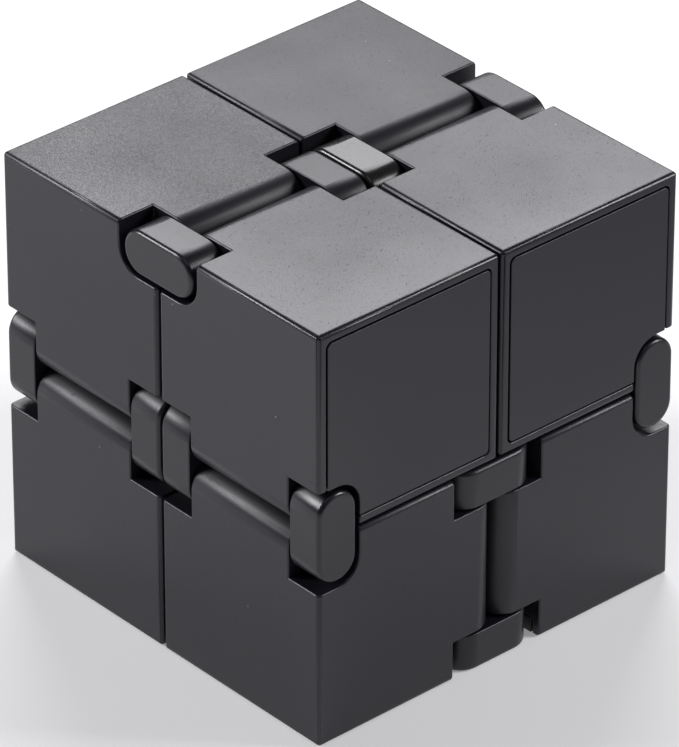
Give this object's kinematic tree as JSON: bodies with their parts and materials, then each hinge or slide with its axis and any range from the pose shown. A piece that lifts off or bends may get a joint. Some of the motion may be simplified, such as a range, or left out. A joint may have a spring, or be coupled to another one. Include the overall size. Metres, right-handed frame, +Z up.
{
  "type": "folding fidget cube",
  "caption": "Pocket fidget cube: a closed ring of hollow cells on double-pivot link hinges that folds over and over; shown closed as one cube.",
  "frame": {"origin": "on the floor under the middle of the closed cube", "axes": "+Z up; the front face looks along -Y and the right face along +X, and the two meet at the near upright edge of the picture"},
  "size_m": [0.04, 0.04, 0.04],
  "materials": {
    "shell": "finely grained matte black ABS",
    "cap": "finely grained matte black ABS",
    "link": "smooth satin black ABS",
    "axle": "plain drawn steel"
  },
  "bodies": {
    "bottom_right_pair": {"bottom_front_right_shell": "shell", "bottom_front_right_cap": "cap", "bottom_back_right_shell": "shell", "bottom_back_right_cap": "cap", "right_hinge_outer_link": "link", "right_hinge_inner_link": "link", "right_hinge_front_axle": "axle", "right_hinge_back_axle": "axle"},
    "front_right_links": {"front_right_hinge_outer_link": "link", "front_right_hinge_inner_link": "link", "front_right_hinge_lower_axle": "axle", "front_right_hinge_upper_axle": "axle"},
    "top_front_right_cell": {"top_front_right_shell": "shell", "top_front_right_cap": "cap"},
    "top_front_links": {"top_front_hinge_outer_link": "link", "top_front_hinge_inner_link": "link", "top_front_hinge_left_axle": "axle", "top_front_hinge_right_axle": "axle"},
    "top_front_left_cell": {"top_front_left_shell": "shell", "top_front_left_cap": "cap"},
    "front_left_links": {"front_left_hinge_outer_link": "link", "front_left_hinge_inner_link": "link", "front_left_hinge_lower_axle": "axle", "front_left_hinge_upper_axle": "axle"},
    "bottom_front_left_cell": {"bottom_front_left_shell": "shell", "bottom_front_left_cap": "cap", "left_hinge_outer_link": "link", "left_hinge_inner_link": "link", "left_hinge_front_axle": "axle", "left_hinge_back_axle": "axle"},
    "back_right_links": {"back_right_hinge_outer_link": "link", "back_right_hinge_inner_link": "link", "back_right_hinge_lower_axle": "axle", "back_right_hinge_upper_axle": "axle"},
    "top_back_right_cell": {"top_back_right_shell": "shell", "top_back_right_cap": "cap"},
    "top_back_links": {"top_back_hinge_outer_link": "link", "top_back_hinge_inner_link": "link", "top_back_hinge_left_axle": "axle", "top_back_hinge_right_axle": "axle"},
    "top_back_left_cell": {"top_back_left_shell": "shell", "top_back_left_cap": "cap"},
    "back_left_links": {"back_left_hinge_outer_link": "link", "back_left_hinge_inner_link": "link", "back_left_hinge_lower_axle": "axle", "back_left_hinge_upper_axle": "axle"},
    "bottom_back_left_cell": {"bottom_back_left_shell": "shell", "bottom_back_left_cap": "cap"}
  },
  "joints": [
    {"name": "front_door_lower", "type": "hinge", "parent": "bottom_right_pair", "child": "front_right_links", "pos_m": [0.01006, -0.0179, 0.01777], "axis": [-1, 0, 0], "range_deg": [-90, 0]},
    {"name": "front_door_upper", "type": "hinge", "parent": "front_right_links", "child": "top_front_right_cell", "pos_m": [0.01006, -0.0179, 0.02223], "axis": [-1, 0, 0], "range_deg": [-90, 0]},
    {"name": "top_fold_right", "type": "hinge", "parent": "top_front_right_cell", "child": "top_front_links", "pos_m": [0.00222, -0.01006, 0.0379], "axis": [0, 1, 0], "range_deg": [0, 90]},
    {"name": "top_fold_left", "type": "hinge", "parent": "top_front_links", "child": "top_front_left_cell", "pos_m": [-0.00222, -0.01006, 0.0379], "axis": [0, 1, 0], "range_deg": [0, 90]},
    {"name": "front_left_upper", "type": "hinge", "parent": "top_front_left_cell", "child": "front_left_links", "pos_m": [-0.01006, -0.0179, 0.02223], "axis": [-1, 0, 0], "range_deg": [0, 90]},
    {"name": "front_left_lower", "type": "hinge", "parent": "front_left_links", "child": "bottom_front_left_cell", "pos_m": [-0.01006, -0.0179, 0.01777], "axis": [-1, 0, 0], "range_deg": [0, 90]},
    {"name": "rear_door_lower", "type": "hinge", "parent": "bottom_right_pair", "child": "back_right_links", "pos_m": [0.01006, 0.0179, 0.01777], "axis": [1, 0, 0], "range_deg": [-90, 0]},
    {"name": "rear_door_upper", "type": "hinge", "parent": "back_right_links", "child": "top_back_right_cell", "pos_m": [0.01006, 0.0179, 0.02223], "axis": [1, 0, 0], "range_deg": [-90, 0]},
    {"name": "top_back_fold_right", "type": "hinge", "parent": "top_back_right_cell", "child": "top_back_links", "pos_m": [0.00222, 0.01006, 0.0379], "axis": [0, 1, 0], "range_deg": [0, 90]},
    {"name": "top_back_fold_left", "type": "hinge", "parent": "top_back_links", "child": "top_back_left_cell", "pos_m": [-0.00222, 0.01006, 0.0379], "axis": [0, 1, 0], "range_deg": [0, 90]},
    {"name": "back_left_upper", "type": "hinge", "parent": "top_back_left_cell", "child": "back_left_links", "pos_m": [-0.01006, 0.0179, 0.02223], "axis": [1, 0, 0], "range_deg": [0, 90]},
    {"name": "back_left_lower", "type": "hinge", "parent": "back_left_links", "child": "bottom_back_left_cell", "pos_m": [-0.01006, 0.0179, 0.01777], "axis": [1, 0, 0], "range_deg": [0, 90]}
  ],
  "couplings": [
    {"joint": "top_fold_left", "follows": "top_fold_right", "ratio": 1},
    {"joint": "top_back_fold_right", "follows": "top_fold_right", "ratio": 1},
    {"joint": "top_back_fold_left", "follows": "top_fold_right", "ratio": 1},
    {"joint": "front_door_upper", "follows": "front_door_lower", "ratio": 1},
    {"joint": "front_left_upper", "follows": "front_door_lower", "ratio": -1},
    {"joint": "front_left_lower", "follows": "front_door_lower", "ratio": -1},
    {"joint": "rear_door_upper", "follows": "rear_door_lower", "ratio": 1},
    {"joint": "back_left_upper", "follows": "rear_door_lower", "ratio": -1},
    {"joint": "back_left_lower", "follows": "rear_door_lower", "ratio": -1}
  ]
}
